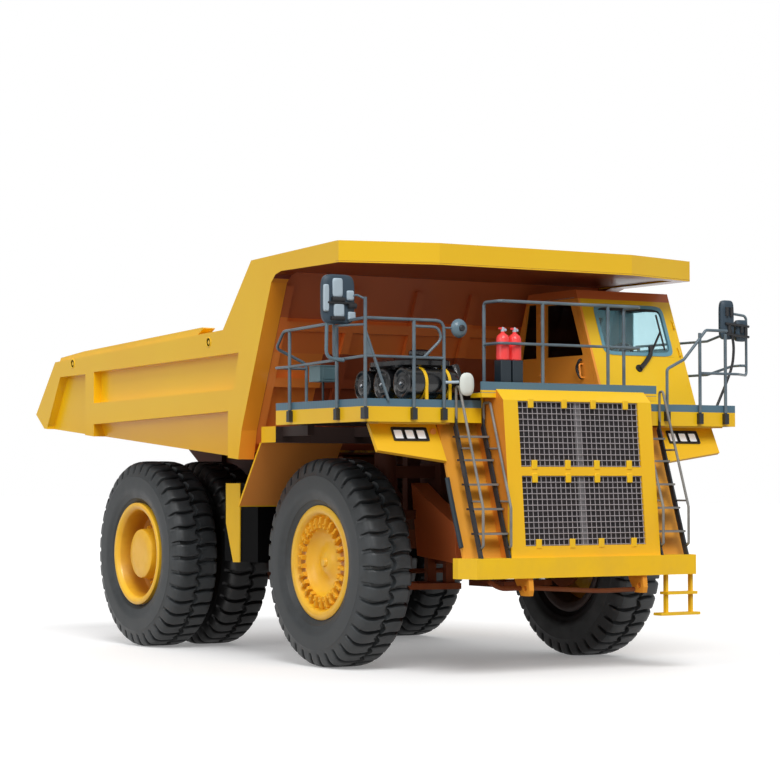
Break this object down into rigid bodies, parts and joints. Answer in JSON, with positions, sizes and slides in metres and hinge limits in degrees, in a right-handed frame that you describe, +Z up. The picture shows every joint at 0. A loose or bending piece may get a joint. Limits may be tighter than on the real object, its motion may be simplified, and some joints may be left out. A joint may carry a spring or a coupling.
{
  "type": "mining dump truck",
  "caption": "Rigid mining haul truck with a tipping dump body, canopy over the deck, side cab, railed walkways, steered front wheels and twin rear wheels.",
  "frame": {"origin": "centre of the outer box at ground level, midway between the truck's sides", "axes": "+Y to the tail along the truck, +Z up, +X to the truck's left (cab) side; the truck faces -Y"},
  "size_m": [6.54, 10.66, 5.385],
  "materials": {
    "yellow_paint": "semi-gloss enamel",
    "grey_blue_paint": "satin enamel",
    "tyre_rubber": "matt",
    "black_paint": "satin",
    "cast_steel": "rough",
    "bright_steel": "polished rod",
    "window_glass": "tinted",
    "lamp_lens": "clear lens",
    "red_paint": "gloss",
    "wire_mesh": "galvanised",
    "seat_fabric": "woven",
    "dark_plastic": "moulded"
  },
  "bodies": {
    "chassis": {"air_cleaners": "black_paint", "cab_glass": "window_glass", "cab_shell": "yellow_paint", "centre_deck": "grey_blue_paint", "control_box": "grey_blue_paint", "dashboard": "dark_plastic", "deck_beams": "yellow_paint", "fenders": "yellow_paint", "fire_extinguishers": "red_paint", "front_bumper": "yellow_paint", "front_lower_arms": "yellow_paint", "fuel_tank": "yellow_paint", "grille_screens": "wire_mesh", "handrail_centre": "grey_blue_paint", "handrail_left": "grey_blue_paint", "handrail_right": "grey_blue_paint", "headlamps": "lamp_lens", "hydraulic_tank": "yellow_paint", "ladders": "grey_blue_paint", "lower_step": "yellow_paint", "main_frame": "yellow_paint", "mirrors": "dark_plastic", "operator_seat": "seat_fabric", "powertrain": "cast_steel", "radiator_core": "black_paint", "radiator_housing": "yellow_paint", "rear_axle_housing": "yellow_paint", "side_decks": "grey_blue_paint", "suspension_struts": "bright_steel", "tow_hooks": "yellow_paint", "wheel_guards": "yellow_paint"},
    "knuckle_left": {"knuckle_left": "yellow_paint"},
    "knuckle_right": {"knuckle_right": "yellow_paint"},
    "tie_rod": {"tie_rod": "yellow_paint"},
    "front_wheel_left": {"front_tyre_left": "tyre_rubber", "front_rim_left": "yellow_paint"},
    "front_wheel_right": {"front_tyre_right": "tyre_rubber", "front_rim_right": "yellow_paint"},
    "rear_wheels_left": {"rear_tyres_left": "tyre_rubber", "rear_rims_left": "yellow_paint"},
    "rear_wheels_right": {"rear_tyres_right": "tyre_rubber", "rear_rims_right": "yellow_paint"},
    "dump_body": {"body_floor": "yellow_paint", "body_side_left": "yellow_paint", "body_side_right": "yellow_paint", "headboard": "yellow_paint", "canopy": "yellow_paint", "body_sills": "yellow_paint"},
    "hoist_barrels": {"hoist_barrels": "yellow_paint"},
    "hoist_stages": {"hoist_stages": "bright_steel"},
    "hoist_rods": {"hoist_rods": "bright_steel"},
    "cab_door": {"cab_door": "yellow_paint", "door_glass": "window_glass"}
  },
  "joints": [
    {"name": "steer_left", "type": "hinge", "parent": "chassis", "child": "knuckle_left", "pos_m": [1.25, -2.54, 1.35], "axis": [0, 0, 1], "range_deg": [-35, 35]},
    {"name": "steer_right", "type": "hinge", "parent": "chassis", "child": "knuckle_right", "pos_m": [-1.25, -2.54, 1.35], "axis": [0, 0, 1], "range_deg": [-35, 35]},
    {"name": "tie_rod_pin", "type": "hinge", "parent": "knuckle_left", "child": "tie_rod", "pos_m": [1.25, -2.09, 1.195], "axis": [0, 0, 1], "range_deg": [-35, 35]},
    {"name": "front_left_roll", "type": "hinge", "parent": "knuckle_left", "child": "front_wheel_left", "pos_m": [1.98, -2.54, 1.35], "axis": [1, 0, 0], "continuous": true},
    {"name": "front_right_roll", "type": "hinge", "parent": "knuckle_right", "child": "front_wheel_right", "pos_m": [-1.98, -2.54, 1.35], "axis": [1, 0, 0], "continuous": true},
    {"name": "rear_left_roll", "type": "hinge", "parent": "chassis", "child": "rear_wheels_left", "pos_m": [1.7, 2.41, 1.35], "axis": [1, 0, 0], "continuous": true},
    {"name": "rear_right_roll", "type": "hinge", "parent": "chassis", "child": "rear_wheels_right", "pos_m": [-1.7, 2.41, 1.35], "axis": [1, 0, 0], "continuous": true},
    {"name": "body_tip", "type": "hinge", "parent": "chassis", "child": "dump_body", "pos_m": [0, 3.45, 2.15], "axis": [-1, 0, 0], "range_deg": [0, 48]},
    {"name": "hoist_swing", "type": "hinge", "parent": "chassis", "child": "hoist_barrels", "pos_m": [0, 1, 1.15], "axis": [-1, 0, 0], "range_deg": [0, 24.3]},
    {"name": "hoist_stage_slide", "type": "slide", "parent": "hoist_barrels", "child": "hoist_stages", "axis": [0, -0.1029, 0.9947], "range_m": [0, 1.007]},
    {"name": "hoist_rod_slide", "type": "slide", "parent": "hoist_stages", "child": "hoist_rods", "axis": [0, -0.1029, 0.9947], "range_m": [0, 1.007]},
    {"name": "cab_door_hinge", "type": "hinge", "parent": "chassis", "child": "cab_door", "pos_m": [1.196, -2.612, 4.2], "axis": [0, 0, -1], "range_deg": [0, 85]}
  ],
  "couplings": [
    {"joint": "steer_right", "follows": "steer_left", "ratio": 1},
    {"joint": "tie_rod_pin", "follows": "steer_left", "ratio": -1},
    {"joint": "hoist_swing", "follows": "body_tip", "ratio": 0.4953},
    {"joint": "hoist_stage_slide", "follows": "body_tip", "m_per_rad": 1.1906},
    {"joint": "hoist_rod_slide", "follows": "body_tip", "m_per_rad": 1.1906}
  ]
}
